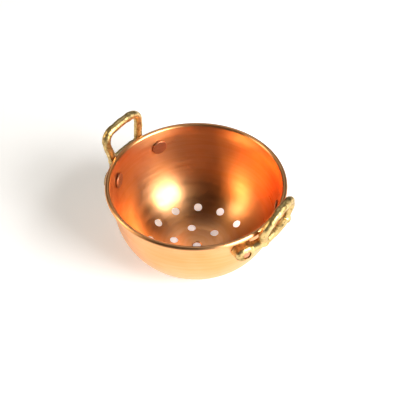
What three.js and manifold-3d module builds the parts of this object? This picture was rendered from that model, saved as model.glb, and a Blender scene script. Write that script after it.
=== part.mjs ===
// Small copper strainer bowl with two riveted brass handles.
// Millimetres, +Z up. The floor stands on z = 0, the bowl's axis is Z and the handles lie along X.

import * as THREE from 'three';
import { mergeVertices } from 'three/addons/utils/BufferGeometryUtils.js';
import Module from 'manifold-3d';

const wasm = await Module();
wasm.setup();

// ---------- driving dimensions ----------

const fitGap = 0.3;             // clearance between pieces that touch in the real object

// bowl
const sheet = 1.1;              // copper sheet
const wallRadius = 69.5;        // outside of the wall
const wallDrop = 7.8;           // upright band between the rim's centre and the start of the curve
const lipFlare = 2;             // how far the wall leans out to meet the rolled rim
const lipHeight = 13;           // over this height
const curveDepth = 68.85;       // depth of the curved part, before the floor is flattened
const curvePower = 2.42;        // 2 would be an ellipse, more is squarer
const floorRadius = 20;         // flat that the bowl stands on
const roundSteps = 60;          // facets around the bowl
const wallSteps = 12;           // facets from the floor to the straight band

// rolled rim
const rimRadius = 72.7;         // centre of the roll, from the bowl's axis
const rollRadius = 2.3;         // outside of the roll
const rollEnd = -120;           // where the sheet's edge stops, in degrees, open towards the wall
const wireRadius = 0.9;

// drain holes
const holeRadius = 3.6;
const holeRings = [
  { count: 1, radius: 0, turn: 0 },
  { count: 6, radius: 20.9, turn: 20.1 },
  { count: 12, radius: 39.8, turn: 5.9 },
];

// handles, with heights measured from the rim's centre
const handleToe = 1.2;          // both handles sit this many degrees towards +Y
const barRadius = 3.2;
const railRadius = 78.6;        // bar between the feet
const railHeight = -7;
const legSpread = 15.6;         // a leg's foot, either side of the handle's middle
const legBend = { out: 78.6, across: 18.2, height: 3 };
const cornerCut = 14;           // where a corner's curve starts, from the corner
const topCrown = 1.2;
const loopCorners = {           // the two loops were bent by hand and differ a little
  right: [{ out: 82.2, across: -18.4, height: 14.5 }, { out: 80.8, across: 19.4, height: 18.6 }],
  left: [{ out: 80.4, across: -22, height: 23.4 }, { out: 80.4, across: 22, height: 23.4 }],
};
const knuckleRadius = 4.4;      // lump where a leg meets the bar between the feet

// feet and rivets
const rivetSpread = 23;         // degrees either side of the handle's middle
const rivetHeight = -13.2;
const lobeRadius = 7;
const lobeStretch = 1.25;
const lobeThickness = 9;
const lobeRounding = 3;
const recessRadius = 3.8;
const recessDepth = 1.2;
const shankRadius = 2.2;
const headRadius = 6.6;
const headThickness = 1.3;
const upsetRadius = 3.1;

const rad = THREE.MathUtils.degToRad;

// ---------- heights ----------

// outside of the bowl, below the rim's centre, at a radius
function curveBelowRim(radius) {
  return wallDrop + curveDepth * (1 - (radius / wallRadius) ** curvePower) ** (1 / curvePower);
}

const rimHeight = curveBelowRim(floorRadius);

// ---------- solids ----------

function solidOf(geometry) {
  const bare = geometry.clone();
  bare.deleteAttribute('normal');
  bare.deleteAttribute('uv');
  const merged = mergeVertices(bare, 1e-4);
  const index = merged.index.array;
  const triVerts = [];
  for (let i = 0; i < index.length; i += 3) {
    const [a, b, c] = [index[i], index[i + 1], index[i + 2]];
    if (a !== b && b !== c && c !== a) triVerts.push(a, b, c);
  }
  return new wasm.Manifold(new wasm.Mesh({
    numProp: 3,
    vertProperties: new Float32Array(merged.attributes.position.array),
    triVerts: new Uint32Array(triVerts),
  }));
}

function geometryOf(solid) {
  const mesh = solid.getMesh();
  const geometry = new THREE.BufferGeometry();
  geometry.setAttribute('position', new THREE.BufferAttribute(new Float32Array(mesh.vertProperties), 3));
  geometry.setIndex(new THREE.BufferAttribute(new Uint32Array(mesh.triVerts), 1));
  const flat = geometry.toNonIndexed();
  flat.computeVertexNormals();
  return flat;
}

// A profile of [radius, height] turned about Z. A profile drawn clockwise comes out inside out,
// so the winding is set by the sign of its area.
function turned(profile, steps) {
  let area = 0;
  profile.forEach(([x, y], i) => {
    const [nextX, nextY] = profile[(i + 1) % profile.length];
    area += x * nextY - nextX * y;
  });
  const ordered = area > 0 ? profile : [...profile].reverse();
  const points = ordered.map(([x, y]) => new THREE.Vector2(x, y));
  if (ordered[0][0] > 0) points.push(points[0].clone());
  const geometry = new THREE.LatheGeometry(points, steps);
  geometry.rotateX(Math.PI / 2);
  return solidOf(geometry);
}

// A round bar along a path.
function barAlong(path, radius, steps) {
  const section = new THREE.Shape();
  section.absarc(0, 0, radius, 0, 2 * Math.PI);
  const geometry = new THREE.ExtrudeGeometry(section, {
    extrudePath: path, steps, bevelEnabled: false, curveSegments: 5,
  });
  return solidOf(geometry);
}

function moved(solid, matrix) {
  return solid.transform(matrix.elements);
}

// Stands a solid's +Z along the bowl's radius at an angle, and sets its origin at a radius and height.
function onWall(degrees, radius, height) {
  const a = rad(degrees);
  const out = new THREE.Vector3(Math.cos(a), Math.sin(a), 0);
  const along = new THREE.Vector3(-Math.sin(a), Math.cos(a), 0);
  const up = new THREE.Vector3(0, 0, 1);
  const place = new THREE.Matrix4().makeBasis(along, up, out);
  return place.setPosition(out.multiplyScalar(radius).setZ(height));
}

// ---------- bowl ----------

function arc(centreX, centreY, radius, from, to, steps) {
  return Array.from({ length: steps + 1 }, (_, i) => {
    const a = rad(from + ((to - from) * i) / steps);
    return [centreX + radius * Math.cos(a), centreY + radius * Math.sin(a)];
  });
}

function flared([radius, height]) {
  const above = Math.max(0, height - rimHeight + lipHeight);
  return [radius + lipFlare * (above / lipHeight) ** 2, height];
}

// One side of the sheet, from the edge of the flat floor up to the rim.
function wallCurve(inset) {
  const start = Math.acos((floorRadius / wallRadius) ** (curvePower / 2));
  const curve = Array.from({ length: wallSteps + 1 }, (_, i) => {
    const t = start * (1 - i / wallSteps);
    const across = Math.cos(t) ** (2 / curvePower);
    const down = Math.sin(t) ** (2 / curvePower);
    const slope = new THREE.Vector2(
      Math.cos(t) ** (2 - 2 / curvePower) / wallRadius,
      Math.sin(t) ** (2 - 2 / curvePower) / curveDepth,
    ).normalize();
    return [
      across * wallRadius - slope.x * inset,
      rimHeight - wallDrop - down * curveDepth + slope.y * inset,
    ];
  });
  const band = [0.67, 0.33].map((share) => [wallRadius - inset, rimHeight - wallDrop * share]);
  return [...curve, ...band].map(flared);
}

function makeBowl() {
  const outside = wallCurve(0);
  const inside = wallCurve(sheet);
  const rollInside = arc(rimRadius, rimHeight, rollRadius - sheet, 180, rollEnd, 8);
  const rollOutside = arc(rimRadius, rimHeight, rollRadius, rollEnd, 180, 10);
  const profile = [
    [0, 0],
    ...outside,
    ...rollInside,
    ...rollOutside,
    ...inside.reverse(),
    [0, sheet],
  ];
  let bowl = turned(profile, roundSteps);
  for (const cutter of [...drainCutters(), ...shankCutters()]) bowl = bowl.subtract(cutter);
  return bowl;
}

function drainCutters() {
  const drill = solidOf(new THREE.CylinderGeometry(holeRadius, holeRadius, 14, 16).rotateX(Math.PI / 2));
  return holeRings.flatMap(({ count, radius, turn }) => Array.from({ length: count }, (_, i) => {
    const bearing = rad(turn + (360 * i) / count);
    const low = radius > floorRadius ? rimHeight - curveBelowRim(radius) : 0;
    const tilt = radius > floorRadius ? Math.atan(curveBelowRim(radius - 1) - curveBelowRim(radius)) : 0;
    const place = new THREE.Matrix4().makeRotationZ(bearing);
    place.multiply(new THREE.Matrix4().makeTranslation(radius, 0, low + sheet / 2));
    place.multiply(new THREE.Matrix4().makeRotationY(-tilt));
    return moved(drill, place);
  }));
}

// ---------- handles and rivets ----------

const handles = [
  { side: 'right', middle: handleToe, rivets: { front: -rivetSpread, back: rivetSpread } },
  { side: 'left', middle: 180 - handleToe, rivets: { front: rivetSpread, back: -rivetSpread } },
];

function shankCutters() {
  const drill = solidOf(
    new THREE.CylinderGeometry(shankRadius + fitGap, shankRadius + fitGap, 20, 16).rotateX(Math.PI / 2),
  );
  return handles.flatMap(({ middle, rivets }) => Object.values(rivets).map((offset) => (
    moved(drill, onWall(middle + offset, wallRadius, rimHeight + rivetHeight)))));
}

// The bar between the feet: it follows the wall and drops to a lobe at each end.
class RailPath extends THREE.Curve {
  getPoint(u, target = new THREE.Vector3()) {
    const reach = rivetSpread - 1.5;
    const bearing = (2 * u - 1) * reach;
    const legBearing = THREE.MathUtils.radToDeg(legSpread / railRadius);
    const drop = THREE.MathUtils.smoothstep(Math.abs(bearing), legBearing - 2, reach);
    const radius = THREE.MathUtils.lerp(railRadius, wallRadius + barRadius, drop);
    const height = THREE.MathUtils.lerp(railHeight, rivetHeight, drop);
    return target.set(radius * Math.cos(rad(bearing)), radius * Math.sin(rad(bearing)), height);
  }
}

// The loop: two legs, two round corners and a slightly crowned top bar.
function loopPath(corners) {
  const towards = (from, to) => from.clone().add(to.clone().sub(from).setLength(cornerCut));
  const [cornerA, cornerB] = corners.map(({ out, across, height }) => (
    new THREE.Vector3(out, across, height)));
  const crown = cornerA.clone().lerp(cornerB, 0.5);
  const half = (corner) => {
    const sign = Math.sign(corner.y);
    const foot = legFoot(sign);
    const bend = new THREE.Vector3(legBend.out, sign * legBend.across, legBend.height);
    return { foot, bend, below: towards(corner, bend), corner, beside: towards(corner, crown) };
  };
  const a = half(cornerA);
  const b = half(cornerB);
  crown.z += topCrown;
  const path = new THREE.CurvePath();
  path.add(new THREE.QuadraticBezierCurve3(a.foot, a.bend, a.below));
  path.add(new THREE.QuadraticBezierCurve3(a.below, a.corner, a.beside));
  path.add(new THREE.QuadraticBezierCurve3(a.beside, crown, b.beside));
  path.add(new THREE.QuadraticBezierCurve3(b.beside, b.corner, b.below));
  path.add(new THREE.QuadraticBezierCurve3(b.below, b.bend, b.foot));
  return path;
}

function legFoot(sign) {
  return new THREE.Vector3(Math.sqrt(railRadius ** 2 - legSpread ** 2), sign * legSpread, railHeight);
}

function makeLobe(offset) {
  const profile = [
    [0, -1],
    [lobeRadius, -1],
    ...arc(lobeRadius - lobeRounding, lobeThickness - lobeRounding, lobeRounding, 0, 90, 5),
    [0, lobeThickness],
  ];
  const stretch = new THREE.Matrix4().makeScale(lobeStretch, 1, 1);
  return moved(turned(profile, 20), onWall(offset, wallRadius, rivetHeight).multiply(stretch));
}

function makeHandle(corners) {
  const wallAndGap = turned([[0, 0], ...wallCurve(-fitGap), [0, rimHeight]], 2 * roundSteps);
  const wall = wallAndGap.translate(0, 0, -rimHeight);
  const recess = solidOf(new THREE.CylinderGeometry(recessRadius, recessRadius, 6, 16).rotateX(Math.PI / 2));
  const shank = solidOf(
    new THREE.CylinderGeometry(shankRadius + fitGap, shankRadius + fitGap, 20, 16).rotateX(Math.PI / 2),
  );
  let handle = barAlong(loopPath(corners), barRadius, 36).add(barAlong(new RailPath(), barRadius, 20));
  for (const sign of [-1, 1]) {
    const { x, y, z } = legFoot(sign);
    handle = handle.add(solidOf(new THREE.SphereGeometry(knuckleRadius, 20, 12)).translate(x, y, z));
  }
  for (const offset of [-rivetSpread, rivetSpread]) {
    const recessFloor = wallRadius + lobeThickness - recessDepth;
    handle = handle.add(makeLobe(offset));
    handle = handle.subtract(moved(recess, onWall(offset, recessFloor + 3, rivetHeight)));
    handle = handle.subtract(moved(shank, onWall(offset, wallRadius, rivetHeight)));
  }
  return handle.subtract(wall);
}

// A rivet lies along +Z: its wide head at the bottom, inside the bowl, and its upset end at the top.
function makeRivet() {
  const headTop = -sheet - 2 * fitGap - headRadius ** 2 / (2 * wallRadius);
  const upsetBottom = lobeThickness - recessDepth + fitGap;
  const profile = [
    [0, headTop - headThickness],
    [headRadius * 0.72, headTop - headThickness],
    [headRadius * 0.93, headTop - headThickness * 0.8],
    [headRadius, headTop - headThickness * 0.4],
    [headRadius, headTop],
    [shankRadius, headTop],
    [shankRadius, upsetBottom],
    [upsetRadius, upsetBottom],
    [upsetRadius * 0.9, upsetBottom + 0.6],
    [upsetRadius * 0.5, upsetBottom + 0.95],
    [0, upsetBottom + 1.05],
  ];
  return turned(profile, 20);
}

// ---------- assembly ----------

const copper = { color: 0xc8693c, roughness: 0.32, metalness: 1 };
const brass = { color: 0xb08b45, roughness: 0.55, metalness: 1 };
const steel = { color: 0x8c8c8c, roughness: 0.45, metalness: 1 };

const strainer = new THREE.Group();

function addPiece(name, geometry, look) {
  const mesh = new THREE.Mesh(geometry, new THREE.MeshStandardMaterial(look));
  mesh.name = name;
  strainer.add(mesh);
  return mesh;
}

addPiece('bowl', geometryOf(makeBowl()), copper);

const wire = addPiece('rim_wire', new THREE.TorusGeometry(rimRadius, wireRadius, 8, roundSteps), steel);
wire.position.z = rimHeight;

const rivetGeometry = geometryOf(makeRivet());

for (const { side, middle, rivets } of handles) {
  const handle = addPiece(`handle_${side}`, geometryOf(makeHandle(loopCorners[side])), brass);
  handle.position.z = rimHeight;
  handle.rotation.z = rad(middle);
  for (const [end, offset] of Object.entries(rivets)) {
    const rivet = addPiece(`rivet_${side}_${end}`, rivetGeometry.clone(), copper);
    onWall(middle + offset, wallRadius, rimHeight + rivetHeight)
      .decompose(rivet.position, rivet.quaternion, rivet.scale);
  }
}

export default strainer;
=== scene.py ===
"""Looks of the small copper strainer bowl with two riveted brass handles."""

import math

import bmesh
import bpy
import numpy as np
from mathutils import Matrix, Vector, noise


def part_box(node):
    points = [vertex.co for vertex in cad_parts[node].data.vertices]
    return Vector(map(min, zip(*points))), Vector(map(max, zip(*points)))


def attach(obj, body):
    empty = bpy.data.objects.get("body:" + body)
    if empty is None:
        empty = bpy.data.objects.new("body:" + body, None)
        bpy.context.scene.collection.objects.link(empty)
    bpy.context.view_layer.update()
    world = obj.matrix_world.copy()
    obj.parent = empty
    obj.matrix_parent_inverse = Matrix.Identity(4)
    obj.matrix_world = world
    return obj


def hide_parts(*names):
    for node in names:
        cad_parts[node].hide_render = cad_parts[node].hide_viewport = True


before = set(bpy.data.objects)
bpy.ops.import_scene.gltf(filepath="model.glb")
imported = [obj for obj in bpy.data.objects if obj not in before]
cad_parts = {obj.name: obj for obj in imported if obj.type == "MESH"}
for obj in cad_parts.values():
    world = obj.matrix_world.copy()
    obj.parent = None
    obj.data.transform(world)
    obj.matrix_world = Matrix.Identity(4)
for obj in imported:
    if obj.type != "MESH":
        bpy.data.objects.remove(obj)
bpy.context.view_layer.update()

MM = 0.001

# ---------- sizes, in millimetres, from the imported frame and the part's design ----------

bowl_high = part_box("bowl")[1] / MM
wire_low, wire_high = (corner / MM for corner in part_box("rim_wire"))

SHEET = 1.1
RIM_HEIGHT = (wire_low.z + wire_high.z) / 2
WIRE_RADIUS = (wire_high.z - wire_low.z) / 2
RIM_RADIUS = wire_high.x - WIRE_RADIUS
ROLL_RADIUS = bowl_high.z - RIM_HEIGHT
WALL_RADIUS = 69.5
WALL_DROP = 7.8
CURVE_DEPTH = 68.85
CURVE_POWER = 2.42
FLOOR_RADIUS = 20.0
FLOOR_EASE = 0.15
LIP_FLARE = 2.0
LIP_HEIGHT = 13.0
HOLE_RADIUS = 3.6
HOLE_RINGS = [(6, 20.9, 20.1), (12, 39.8, 5.9)]

HANDLE_TOE = 1.2
BAR_RADIUS = 3.2
RAIL_RADIUS = 78.6
RAIL_HEIGHT = -7.0
LEG_SPREAD = 15.6
LEG_BEND = (78.6, 18.2, 3.0)
CORNER_CUT = 14.0
TOP_CROWN = 1.2
KNUCKLE_RADIUS = 4.4
RAIL_SWELL = 1.3
RAIL_SHORT_OF_RIVET = 1.5  # degrees
RAIL_DROP_BEFORE_LEG = 2  # degrees
HANDLE_REACH_DOWN = 40
LOOP_CORNERS = {
    "right": ((82.2, -18.4, 14.5), (80.8, 19.4, 18.6)),
    "left": ((80.4, -22.0, 23.4), (80.4, 22.0, 23.4)),
}

RIVET_SPREAD = 23.0
RIVET_HEIGHT = -13.2
LOBE_RADIUS = 7.0
LOBE_STRETCH = 1.25
LOBE_THICKNESS = 9.0
LOBE_ROUNDING = 3.0
RECESS_RADIUS = 3.8
RECESS_DEPTH = 1.2
SHANK_RADIUS = 2.2
HEAD_RADIUS = 6.6
HEAD_THICKNESS = 1.3
UPSET_RADIUS = 3.1
FIT_GAP = 0.3

# The casting's skin: grid of the joined body, outward push, and waviness as (scale, height) of the noise.
VOXEL = 0.45
SKIN_PUSH = 0.42
KNUCKLE_EXTRA = 0.1
LOOP_SWELL_SCALE = 0.09
LOOP_SWELL = 0.05
BROAD_LUMPS = (0.2, 0.35)
FINE_LUMPS = (0.7, 0.1)
PIT_SCALE = 1.3
PIT_DEPTH = 0.25
PIT_LIMIT = 0.3

# A face belongs to a drilled hole if the cosine between its normal and the profile's is below this.
CUT_FACE_COSINE = 0.75

# Copper that is brushed more than this also has its highlights stretched around the axis.
STRETCHED_ABOVE = 0.7

HANDLES = {
    "right": (HANDLE_TOE, {"front": -RIVET_SPREAD, "back": RIVET_SPREAD}),
    "left": (180 - HANDLE_TOE, {"front": RIVET_SPREAD, "back": -RIVET_SPREAD}),
}


# ---------- mesh helpers ----------


def new_object(name, vertices, faces):
    """A mesh object from vertices in millimetres."""
    mesh = bpy.data.meshes.new(name)
    mesh.from_pydata([tuple(Vector(v) * MM) for v in vertices], [], faces)
    mesh.update()
    piece = bpy.data.objects.new(name, mesh)
    bpy.context.scene.collection.objects.link(piece)
    return piece


def outward(piece):
    """Turns every face of a closed mesh to the outside."""
    work = bmesh.new()
    work.from_mesh(piece.data)
    bmesh.ops.recalc_face_normals(work, faces=work.faces)
    work.to_mesh(piece.data)
    work.free()
    return piece


def applied(piece):
    """The same object with its modifiers applied."""
    graph = bpy.context.evaluated_depsgraph_get()
    mesh = bpy.data.meshes.new_from_object(piece.evaluated_get(graph))
    piece.modifiers.clear()
    old = piece.data
    piece.data = mesh
    bpy.data.meshes.remove(old)
    return piece


def joined(name, pieces):
    """One object that holds the meshes of all pieces, as they stand."""
    work = bmesh.new()
    for piece in pieces:
        start = len(work.verts)
        work.from_mesh(piece.data)
        work.verts.ensure_lookup_table()
        bmesh.ops.transform(work, matrix=piece.matrix_world, verts=work.verts[start:])
        bpy.data.objects.remove(piece)
    mesh = bpy.data.meshes.new(name)
    work.to_mesh(mesh)
    work.free()
    whole = bpy.data.objects.new(name, mesh)
    bpy.context.scene.collection.objects.link(whole)
    return whole


def cut(piece, cutter):
    """Takes the cutter out of the piece and removes the cutter."""
    tool = piece.modifiers.new("cut", "BOOLEAN")
    tool.operation = "DIFFERENCE"
    tool.solver = "MANIFOLD"
    tool.object = cutter
    applied(piece)
    bpy.data.objects.remove(cutter)
    return piece


def turned(name, profile, steps):
    """A closed profile of (radius, height) turned about Z. Points on the axis become poles."""
    vertices, rings = [], []
    for radius, height in profile:
        if radius < 1e-6:
            rings.append([len(vertices)] * steps)
            vertices.append((0, 0, height))
        else:
            rings.append(list(range(len(vertices), len(vertices) + steps)))
            for k in range(steps):
                a = 2 * math.pi * k / steps
                vertices.append((radius * math.cos(a), radius * math.sin(a), height))
    faces = []
    pairs = list(zip(rings, rings[1:] + rings[:1]))
    for low, high in pairs:
        for k in range(steps):
            corners = [low[k], low[(k + 1) % steps], high[(k + 1) % steps], high[k]]
            face = list(dict.fromkeys(corners))
            if len(face) > 2:
                faces.append(face)
    return outward(new_object(name, vertices, faces))


def swept(name, path, radii, sides=24):
    """A round bar along a list of points, with a radius at each point."""
    points = [Vector(p) for p in path]
    tangents = [
        (points[min(i + 1, len(points) - 1)] - points[max(i - 1, 0)]).normalized()
        for i in range(len(points))
    ]
    side = tangents[0].orthogonal().normalized()
    vertices, faces = [], []
    for i, (point, tangent, radius) in enumerate(zip(points, tangents, radii)):
        side = (side - tangent * side.dot(tangent)).normalized()
        other = tangent.cross(side)
        for k in range(sides):
            a = 2 * math.pi * k / sides
            vertices.append(point + radius * (math.cos(a) * side + math.sin(a) * other))
        if i:
            for k in range(sides):
                near, far = (i - 1) * sides, i * sides
                faces.append([near + k, near + (k + 1) % sides, far + (k + 1) % sides, far + k])
    faces.append(list(range(sides)))
    faces.append([len(vertices) - 1 - k for k in range(sides)])
    return outward(new_object(name, vertices, faces))


def on_wall(degrees, radius, height):
    """Stands +Z along the bowl's radius at an angle, with the origin at a radius and height."""
    a = math.radians(degrees)
    out = Vector((math.cos(a), math.sin(a), 0))
    along = Vector((-math.sin(a), math.cos(a), 0))
    place = Matrix((along, Vector((0, 0, 1)), out)).transposed().to_4x4()
    place.translation = (out * radius + Vector((0, 0, height))) * MM
    return place


def arc(centre, radius, start, end, steps):
    """Points on an arc, by angles in degrees."""
    angles = np.radians(np.linspace(start, end, steps + 1))
    return [(centre[0] + radius * math.cos(a), centre[1] + radius * math.sin(a)) for a in angles]


# ---------- bowl ----------


def curve_below_rim(radius):
    return WALL_DROP + CURVE_DEPTH * (1 - (radius / WALL_RADIUS) ** CURVE_POWER) ** (1 / CURVE_POWER)


def floor_height(radius):
    """Outside of the sheet, with the curve easing into the flat floor."""
    rise = RIM_HEIGHT - curve_below_rim(radius)
    return (rise + math.hypot(rise, FLOOR_EASE)) / 2


def flared(radius, height):
    above = max(0, height - RIM_HEIGHT + LIP_HEIGHT)
    return radius + LIP_FLARE * (above / LIP_HEIGHT) ** 2, height


def wall_face():
    """The outside of the sheet, from the centre hole's edge up to the rim."""
    eased = FLOOR_RADIUS + 4
    points = [(r, floor_height(r)) for r in np.linspace(HOLE_RADIUS, eased, 18)]
    start = math.acos((eased / WALL_RADIUS) ** (CURVE_POWER / 2))
    for t in np.linspace(start, 0, 56)[1:]:
        radius = WALL_RADIUS * math.cos(t) ** (2 / CURVE_POWER)
        points.append((radius, RIM_HEIGHT - WALL_DROP - CURVE_DEPTH * math.sin(t) ** (2 / CURVE_POWER)))
    points += [(WALL_RADIUS, RIM_HEIGHT - WALL_DROP * k / 10) for k in range(9, 0, -1)]
    return [flared(*point) for point in points]


def bowl_face():
    """The wall's outside, then round the inside of the roll."""
    return wall_face() + arc((RIM_RADIUS, RIM_HEIGHT), ROLL_RADIUS - SHEET, 180, -120, 20)


def profile_normals(points, closed=False):
    p = np.array(points)
    if closed:
        along = np.roll(p, -1, 0) - np.roll(p, 1, 0)
    else:
        along = np.gradient(p, axis=0)
    along /= np.linalg.norm(along, axis=1)[:, None]
    return np.stack([-along[:, 1], along[:, 0]], 1)


def bowl_profile():
    outside = bowl_face()
    inward = profile_normals(outside)
    inside = [tuple(p) for p in np.array(outside) + SHEET * inward]
    return outside + inside[::-1]


def drill(radius, length, steps=48):
    half = length / 2
    return turned("drill", [(0, -half), (radius, -half), (radius, half), (0, half)], steps)


def bowl_cutters():
    cutters = []
    for count, radius, turn in HOLE_RINGS:
        slope = math.atan(floor_height(radius + 0.5) - floor_height(radius - 0.5))
        for k in range(count):
            hole = drill(HOLE_RADIUS, 10)
            hole.matrix_world = (
                Matrix.Rotation(math.radians(turn + 360 * k / count), 4, "Z")
                @ Matrix.Translation(Vector((radius, 0, floor_height(radius) + SHEET / 2)) * MM)
                @ Matrix.Rotation(-slope, 4, "Y")
            )
            cutters.append(hole)
    for middle, rivets in HANDLES.values():
        for offset in rivets.values():
            hole = drill(SHANK_RADIUS + FIT_GAP, 12, 32)
            hole.matrix_world = on_wall(middle + offset, WALL_RADIUS, RIM_HEIGHT + RIVET_HEIGHT)
            cutters.append(hole)
    bpy.context.view_layer.update()
    return cutters


def smooth_as_turned(piece, profile):
    """Gives the turned faces the profile's own normals, so that the cut holes leave no marks on them."""
    mesh = piece.data
    points = np.array(profile)
    normals = -profile_normals(profile, closed=True)
    co = np.empty(len(mesh.vertices) * 3)
    mesh.vertices.foreach_get("co", co)
    co = co.reshape(-1, 3) / MM
    flat = np.stack([np.hypot(co[:, 0], co[:, 1]), co[:, 2]], 1)
    bearing = co[:, :2] / flat[:, :1]
    ends = np.roll(points, -1, 0)
    span = ends - points
    length = (span**2).sum(1)
    best = np.full(len(co), np.inf)
    turned_normals = np.zeros((len(co), 3))
    for i in range(len(points)):
        t = np.clip(((flat - points[i]) @ span[i]) / length[i], 0, 1)
        gap = ((flat - points[i] - t[:, None] * span[i]) ** 2).sum(1)
        near = gap < best
        best[near] = gap[near]
        n = normals[i] * (1 - t[near, None]) + np.roll(normals, -1, 0)[i] * t[near, None]
        n /= np.linalg.norm(n, axis=1)[:, None]
        turned_normals[near] = np.stack(
            [n[:, 0] * bearing[near, 0], n[:, 0] * bearing[near, 1], n[:, 1]], 1
        )
    count = len(mesh.loops)
    corner = np.empty(count, int)
    mesh.loops.foreach_get("vertex_index", corner)
    starts = np.empty(len(mesh.polygons), int)
    mesh.polygons.foreach_get("loop_start", starts)
    face = np.empty(len(mesh.polygons) * 3)
    mesh.polygons.foreach_get("normal", face)
    face = face.reshape(-1, 3)
    side = np.add.reduceat(turned_normals[corner], starts)
    side /= np.linalg.norm(side, axis=1)[:, None]
    is_wall = (face * side).sum(1) < CUT_FACE_COSINE
    owner = np.repeat(np.arange(len(starts)), np.diff(np.append(starts, count)))
    on_wall_loop = is_wall[owner]
    around = np.zeros((len(co), 3))
    np.add.at(around, corner[on_wall_loop], face[owner[on_wall_loop]])
    loops = turned_normals[corner]
    loops[on_wall_loop] = around[corner[on_wall_loop]]
    loops /= np.linalg.norm(loops, axis=1)[:, None]
    mesh.shade_smooth()
    mesh.normals_split_custom_set(loops.tolist())


def make_bowl():
    profile = bowl_profile()
    bowl = turned("copper_bowl", profile, 192)
    cut(bowl, joined("drills", bowl_cutters()))
    smooth_as_turned(bowl, profile)
    return bowl


# ---------- handles ----------


def quadratic(a, b, c, steps):
    a, b, c = (Vector(p) for p in (a, b, c))
    ts = [k / steps for k in range(steps)]
    return [(1 - t) ** 2 * a + 2 * t * (1 - t) * b + t * t * c for t in ts]


def leg_foot(sign):
    return Vector((math.sqrt(RAIL_RADIUS**2 - LEG_SPREAD**2), sign * LEG_SPREAD, RAIL_HEIGHT))


def loop_points(corners):
    """The loop's middle line in the handle's own place, with +X out from the bowl."""
    corners = [Vector(corner) for corner in corners]
    crown = (corners[0] + corners[1]) / 2
    halves = []
    for corner in corners:
        sign = math.copysign(1, corner.y)
        bend = Vector((LEG_BEND[0], sign * LEG_BEND[1], LEG_BEND[2]))
        below = corner + (bend - corner).normalized() * CORNER_CUT
        beside = corner + (crown - corner).normalized() * CORNER_CUT
        half = quadratic(leg_foot(sign), bend, below, 30) + quadratic(below, corner, beside, 26)
        halves.append((half, beside))
    (first, start), (second, end) = halves
    top = quadratic(start, crown + Vector((0, 0, TOP_CROWN)), end, 16)
    return first + top + [end] + second[::-1]


def rail_points():
    """The bar between the feet, dropping to a lobe at each end."""
    reach = RIVET_SPREAD - RAIL_SHORT_OF_RIVET
    leg = math.degrees(LEG_SPREAD / RAIL_RADIUS) - RAIL_DROP_BEFORE_LEG
    points = []
    for bearing in np.linspace(-reach, reach, 61):
        t = min(max((abs(bearing) - leg) / (reach - leg), 0), 1)
        drop = t * t * (3 - 2 * t)
        radius = RAIL_RADIUS + (WALL_RADIUS + BAR_RADIUS - RAIL_RADIUS) * drop
        height = RAIL_HEIGHT + (RIVET_HEIGHT - RAIL_HEIGHT) * drop
        a = math.radians(bearing)
        points.append(Vector((radius * math.cos(a), radius * math.sin(a), height)))
    return points


def ball(centre, radius):
    angles = np.linspace(-math.pi / 2, math.pi / 2, 13)
    piece = turned("ball", [(radius * math.cos(a), radius * math.sin(a)) for a in angles], 24)
    piece.matrix_world = Matrix.Translation(Vector(centre) * MM)
    return piece


def lobe(offset):
    edge = LOBE_ROUNDING
    profile = [
        (0, -1),
        (LOBE_RADIUS, -1),
        *arc((LOBE_RADIUS - edge, LOBE_THICKNESS - edge), edge, 0, 90, 8),
        (0, LOBE_THICKNESS),
    ]
    piece = turned("lobe", profile, 40)
    piece.matrix_world = on_wall(offset, WALL_RADIUS, RIVET_HEIGHT) @ Matrix.Diagonal(
        (LOBE_STRETCH, 1, 1, 1)
    )
    return piece


def make_handle(name, middle, corners, seed):
    """A rough casting: loop, bar and lobes run into one body, which gets its skin and then its cuts."""
    loop = loop_points(corners)
    shift = Vector((seed, 0, 0))
    swell = [BAR_RADIUS * (1 + LOOP_SWELL * noise.noise(p * LOOP_SWELL_SCALE + shift)) for p in loop]
    rail = rail_points()
    last = len(rail) - 1
    rail_radii = [BAR_RADIUS + RAIL_SWELL * abs(2 * k / last - 1) ** 2 for k in range(len(rail))]
    pieces = [
        swept("loop", loop, swell),
        swept("rail", rail, rail_radii),
        lobe(-RIVET_SPREAD),
        lobe(RIVET_SPREAD),
    ]
    for side in (-1, 1):
        pieces.append(ball(leg_foot(side), KNUCKLE_RADIUS + KNUCKLE_EXTRA))
    bpy.context.view_layer.update()
    handle = joined(name, pieces)
    remesh = handle.modifiers.new("one body", "REMESH")
    remesh.mode = "VOXEL"
    remesh.voxel_size = VOXEL * MM
    ease = handle.modifiers.new("ease", "SMOOTH")
    ease.factor = 0.6
    ease.iterations = 5
    applied(handle)
    cast_skin(handle.data, seed)
    outside = np.array(wall_face())
    clear = outside - FIT_GAP * profile_normals(outside)
    near = [(r, z - RIM_HEIGHT) for r, z in clear if z > RIM_HEIGHT - HANDLE_REACH_DOWN]
    envelope = turned("wall", [(0, near[0][1]), *near, (0, near[-1][1])], 360)
    cutters = [envelope]
    for offset in (-RIVET_SPREAD, RIVET_SPREAD):
        recess = drill(RECESS_RADIUS, 6)
        floor = WALL_RADIUS + LOBE_THICKNESS - RECESS_DEPTH
        recess.matrix_world = on_wall(offset, floor + 3, RIVET_HEIGHT)
        shank = drill(SHANK_RADIUS + FIT_GAP, 24, 32)
        shank.matrix_world = on_wall(offset, WALL_RADIUS, RIVET_HEIGHT)
        cutters += [recess, shank]
    bpy.context.view_layer.update()
    for cutter in cutters:
        cutter.data.transform(cutter.matrix_world)
        cutter.matrix_world = Matrix.Identity(4)
        cut(handle, cutter)
    place = Matrix.Rotation(math.radians(middle), 4, "Z")
    place.translation = Vector((0, 0, RIM_HEIGHT)) * MM
    handle.data.transform(place)
    handle.data.shade_smooth()
    handle.data.set_sharp_from_angle(angle=math.radians(50))
    return handle


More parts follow.
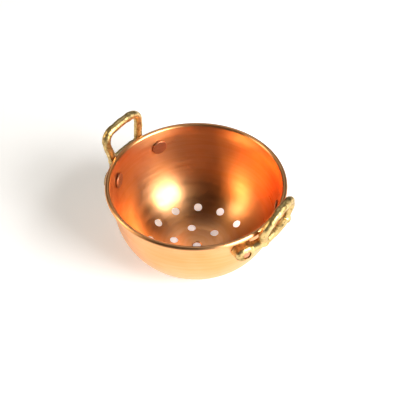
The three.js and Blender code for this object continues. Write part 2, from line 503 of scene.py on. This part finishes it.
def cast_skin(mesh, seed):
    """Pushes the skin out along each vertex's normal, with sand-cast waviness and pits."""
    shift = Vector((seed * 7.3, seed * 3.1, 0))
    normals = [vertex.normal.copy() for vertex in mesh.vertices]
    for vertex, normal in zip(mesh.vertices, normals):
        p = vertex.co / MM + shift
        lumps = sum(noise.noise(p * scale) * height for scale, height in (BROAD_LUMPS, FINE_LUMPS))
        pits = -PIT_DEPTH * max(0.0, noise.noise(p * PIT_SCALE + Vector((0, 0, 5))) - PIT_LIMIT)
        vertex.co += normal * (SKIN_PUSH + lumps + pits) * MM


# ---------- rivets ----------


def make_rivet(name, degrees):
    """A rivet with a shallow wide head inside the bowl and a hammered end outside."""
    head_top = -SHEET - 2 * FIT_GAP - HEAD_RADIUS**2 / (2 * WALL_RADIUS)
    upset = LOBE_THICKNESS - RECESS_DEPTH + FIT_GAP
    edge, upset_edge = 0.45, 0.35
    profile = [
        (0, head_top - HEAD_THICKNESS),
        (HEAD_RADIUS * 0.55, head_top - HEAD_THICKNESS * 0.97),
        (HEAD_RADIUS * 0.82, head_top - HEAD_THICKNESS * 0.9),
        *arc((HEAD_RADIUS - edge, head_top - HEAD_THICKNESS * 0.85 + edge), edge, -80, 0, 6),
        (HEAD_RADIUS, head_top),
        (SHANK_RADIUS, head_top),
        (SHANK_RADIUS, upset),
        (UPSET_RADIUS - 0.2, upset),
        *arc((UPSET_RADIUS - upset_edge, upset + upset_edge), upset_edge, -30, 75, 5),
        (UPSET_RADIUS * 0.6, upset + 0.86),
        (UPSET_RADIUS * 0.3, upset + 0.98),
        (0, upset + 1.02),
    ]
    rivet = turned(name, profile, 64)
    for vertex in rivet.data.vertices:
        p = vertex.co / MM
        dent = noise.noise(Vector((p.x * 0.5, p.y * 0.5, degrees)))
        if p.z > upset + 0.5:
            vertex.co.z += 0.12 * dent * MM
        elif p.z < head_top - 0.5:
            vertex.co.z += 0.05 * dent * MM
    rivet.data.transform(on_wall(degrees, WALL_RADIUS, RIM_HEIGHT + RIVET_HEIGHT))
    rivet.data.shade_smooth()
    rivet.data.set_sharp_from_angle(angle=math.radians(40))
    return rivet


# ---------- materials ----------


class Nodes:
    """A short way to write a material's nodes."""

    def __init__(self, name):
        self.material = bpy.data.materials.new(name)
        self.material.use_nodes = True
        self.tree = self.material.node_tree
        self.shader = self.tree.nodes["Principled BSDF"]
        self.place = self.tree.nodes.new("ShaderNodeTexCoord").outputs["Object"]

    def add(self, kind, inputs=None, **settings):
        node = self.tree.nodes.new(kind)
        for key, value in settings.items():
            setattr(node, key, value)
        for key, value in (inputs or {}).items():
            self.set(node.inputs[key], value)
        return node

    def set(self, socket, value):
        if isinstance(value, bpy.types.NodeSocket):
            self.tree.links.new(value, socket)
        else:
            socket.default_value = value

    def math(self, operation, a, b=0.0):
        return self.add("ShaderNodeMath", {0: a, 1: b}, operation=operation).outputs[0]

    def noise(self, scale, detail=4.0, vector=None):
        inputs = {"Vector": vector or self.place, "Scale": scale, "Detail": detail}
        return self.add("ShaderNodeTexNoise", inputs).outputs["Fac"]

    def remap(self, value, low, high, to_low, to_high):
        inputs = {0: value, 1: low, 2: high, 3: to_low, 4: to_high}
        return self.add("ShaderNodeMapRange", inputs).outputs[0]

    def mix(self, factor, a, b):
        node = self.add("ShaderNodeMix", {0: factor, 6: a, 7: b}, data_type="RGBA")
        return node.outputs[2]

    def bump(self, height, strength, distance, normal=None):
        inputs = {"Height": height, "Strength": strength, "Distance": distance}
        if normal:
            inputs["Normal"] = normal
        return self.add("ShaderNodeBump", inputs).outputs[0]

    def spin_vector(self, around, along):
        """Coordinates stretched around the bowl's axis, so that spinning marks run around it."""
        parts = self.add("ShaderNodeSeparateXYZ", {0: self.place}).outputs
        angle = self.math("ARCTAN2", parts[1], parts[0])
        squares = [self.math("POWER", part, 2.0) for part in (parts[0], parts[1])]
        radius = self.math("SQRT", self.math("ADD", *squares))
        turn_x = self.math("MULTIPLY", self.math("COSINE", angle), around)
        turn_y = self.math("MULTIPLY", self.math("SINE", angle), around)
        rise = self.math("MULTIPLY", self.math("SUBTRACT", radius, parts[2]), along)
        return self.add("ShaderNodeCombineXYZ", {0: turn_x, 1: turn_y, 2: rise}).outputs[0]


def copper(name, tint, dark, rough, brushed):
    """Copper with fine lines and broader bands from turning, clouds and a few duller spots."""
    n = Nodes(name)
    lines = n.noise(1.0, 3.0, n.spin_vector(around=2.2, along=1500.0))
    bands = n.noise(1.0, 2.0, n.spin_vector(around=1.6, along=520.0))
    cloud = n.noise(34.0, 5.0)
    spots = n.noise(260.0, 3.0)
    stain = n.remap(cloud, 0.42, 0.72, 0.0, 0.5)
    tone = n.math("ADD", stain, n.remap(bands, 0.42, 0.62, 0.0, 0.5 * brushed))
    n.set(n.shader.inputs["Base Color"], n.mix(tone, tint, dark))
    worn = n.math("ADD", n.remap(lines, 0.3, 0.7, -0.05, 0.05), n.remap(cloud, 0.3, 0.7, -0.03, 0.03))
    worn = n.math("ADD", worn, n.remap(spots, 0.62, 0.75, 0.0, 0.06))
    n.set(n.shader.inputs["Roughness"], n.math("ADD", worn, rough))
    n.shader.inputs["Metallic"].default_value = 1.0
    normal = n.bump(bands, 0.3 * brushed, 0.00004)
    n.set(n.shader.inputs["Normal"], n.bump(lines, 0.5 * brushed, 0.00003, normal))
    if brushed > STRETCHED_ABOVE:
        around = n.add("ShaderNodeTangent", direction_type="RADIAL", axis="Z").outputs[0]
        n.set(n.shader.inputs["Tangent"], around)
        n.shader.inputs["Anisotropic"].default_value = 0.5
        n.shader.inputs["Anisotropic Rotation"].default_value = 0.25
    return n.material


def cast_brass():
    n = Nodes("cast brass")
    cloud = n.noise(70.0, 6.0)
    grain = n.noise(900.0, 4.0)
    pits = n.noise(420.0, 5.0)
    tone = n.math("ADD", n.remap(cloud, 0.42, 0.72, 0.0, 0.9), n.remap(pits, 0.5, 0.68, 0.0, 0.7))
    colour = n.mix(tone, (0.86, 0.62, 0.27, 1), (0.36, 0.24, 0.08, 1))
    n.set(n.shader.inputs["Base Color"], colour)
    rough = n.math("ADD", n.remap(cloud, 0.35, 0.7, 0.30, 0.46), n.remap(grain, 0.4, 0.7, -0.04, 0.10))
    n.set(n.shader.inputs["Roughness"], rough)
    n.shader.inputs["Metallic"].default_value = 1.0
    normal = n.bump(pits, 0.6, 0.00025)
    n.set(n.shader.inputs["Normal"], n.bump(grain, 0.45, 0.00012, normal))
    return n.material


def drawn_wire():
    n = Nodes("drawn steel wire")
    haze = n.noise(300.0, 4.0)
    n.set(n.shader.inputs["Base Color"], n.mix(haze, (0.42, 0.42, 0.42, 1), (0.24, 0.23, 0.22, 1)))
    n.set(n.shader.inputs["Roughness"], n.remap(haze, 0.3, 0.7, 0.35, 0.55))
    n.shader.inputs["Metallic"].default_value = 1.0
    return n.material


# ---------- pieces ----------


def place(piece, node, slot, material):
    piece.data.materials.clear()
    piece.data.materials.append(material)
    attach(piece, "root")
    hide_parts(node)


sheet_copper = copper("spun copper", (0.94, 0.465, 0.21, 1), (0.89, 0.395, 0.135, 1), 0.34, 1.0)
# The rivets get a darker, redder copy of the sheet's copper. This is painted shade on the whole rivet,
# heads and hammered ends alike.
rivet_copper_painted_shade = copper("rivet copper with painted shade", (0.66, 0.31, 0.17, 1), (0.42, 0.18, 0.09, 1), 0.42, 0.5)
brass = cast_brass()

place(make_bowl(), "bowl", "copper_sheet", sheet_copper)
for seed, (side, (middle, rivets)) in enumerate(HANDLES.items(), 1):
    handle = make_handle(f"brass_handle_{side}", middle, LOOP_CORNERS[side], seed)
    place(handle, f"handle_{side}", "cast_brass", brass)
    for end, offset in rivets.items():
        rivet = make_rivet(f"copper_rivet_{side}_{end}", middle + offset)
        place(rivet, f"rivet_{side}_{end}", "copper_rivet", rivet_copper_painted_shade)

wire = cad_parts["rim_wire"]
wire.data.materials.clear()
wire.data.materials.append(drawn_wire())


# ---------- camera ----------

CAMERA_BEARING = -51.9
CAMERA_ELEVATION = 44.12
CAMERA_DISTANCE = 0.8724
CAMERA_ROLL = 0.63
CAMERA_LENS = 95.6
AIM_RIGHT = 0.00306
AIM_DOWN = 0.01344


def toward(bearing, elevation):
    """A unit vector from the object, by angles in degrees."""
    a, e = math.radians(bearing), math.radians(elevation)
    return Vector((math.cos(e) * math.cos(a), math.cos(e) * math.sin(a), math.sin(e)))


rim_centre = Vector((0, 0, RIM_HEIGHT * MM))
to_camera = toward(CAMERA_BEARING, CAMERA_ELEVATION)
right = Vector((0, 0, 1)).cross(to_camera).normalized()
up = to_camera.cross(right)
camera_at = rim_centre + to_camera * CAMERA_DISTANCE
aim = rim_centre + right * AIM_RIGHT - up * AIM_DOWN
camera = bpy.data.objects.new("camera", bpy.data.cameras.new("camera"))
camera.data.lens = CAMERA_LENS
camera.data.sensor_width = 36
camera.data.clip_start = 0.01
facing = (aim - camera_at).to_track_quat("-Z", "Y").to_matrix().to_4x4()
camera.matrix_world = (
    Matrix.Translation(camera_at) @ facing @ Matrix.Rotation(math.radians(-CAMERA_ROLL), 4, "Z")
)
bpy.context.scene.collection.objects.link(camera)
bpy.context.scene.camera = camera


# ---------- studio ----------


def softbox(name, bearing, elevation, distance, width, height, power, tint=(1, 1, 1)):
    light = bpy.data.lights.new(name, "AREA")
    light.shape = "RECTANGLE"
    light.size = width
    light.size_y = height
    light.energy = power
    light.color = tint
    box = bpy.data.objects.new(name, light)
    box.location = rim_centre + toward(bearing, elevation) * distance
    box.rotation_euler = (rim_centre - box.location).to_track_quat("-Z", "Y").to_euler()
    bpy.context.scene.collection.objects.link(box)


def make_floor():
    n = Nodes("white floor")
    haze = n.noise(3.0, 2.0)
    n.set(n.shader.inputs["Base Color"], n.mix(haze, (0.90, 0.90, 0.90, 1), (0.92, 0.92, 0.92, 1)))
    n.shader.inputs["Roughness"].default_value = 0.8
    n.shader.inputs["Emission Color"].default_value = (1, 1, 1, 1)
    n.shader.inputs["Emission Strength"].default_value = 0.36
    half, drop = 6000, -0.05
    corners = [(-half, -half, drop), (half, -half, drop), (half, half, drop), (-half, half, drop)]
    floor = new_object("floor", corners, [(0, 1, 2, 3)])
    floor.data.materials.append(n.material)


make_floor()
softbox(
    "right softbox",
    bearing=CAMERA_BEARING + 56,
    elevation=30,
    distance=1.4,
    width=0.9,
    height=1.0,
    power=38,
)
softbox(
    "left softbox",
    bearing=CAMERA_BEARING - 92,
    elevation=30,
    distance=1.5,
    width=0.5,
    height=1.0,
    power=8,
    tint=(1.0, 0.86, 0.62),
)
softbox(
    "back fill",
    bearing=CAMERA_BEARING + 180,
    elevation=55,
    distance=1.6,
    width=1.0,
    height=0.5,
    power=2,
)

world = bpy.data.worlds.new("studio")
world.use_nodes = True
sky = world.node_tree.nodes
place_in_sky = sky.new("ShaderNodeTexCoord").outputs["Generated"]
split = sky.new("ShaderNodeSeparateXYZ")
fade = sky.new("ShaderNodeMapRange")
for key, value in (("From Min", 0.0), ("From Max", 0.75), ("To Min", 1.0), ("To Max", 0.3)):
    fade.inputs[key].default_value = value
world.node_tree.links.new(place_in_sky, split.inputs[0])
world.node_tree.links.new(split.outputs["Z"], fade.inputs["Value"])
world.node_tree.links.new(fade.outputs[0], sky["Background"].inputs["Strength"])
bpy.context.scene.world = world
bpy.context.scene.view_settings.view_transform = "Standard"
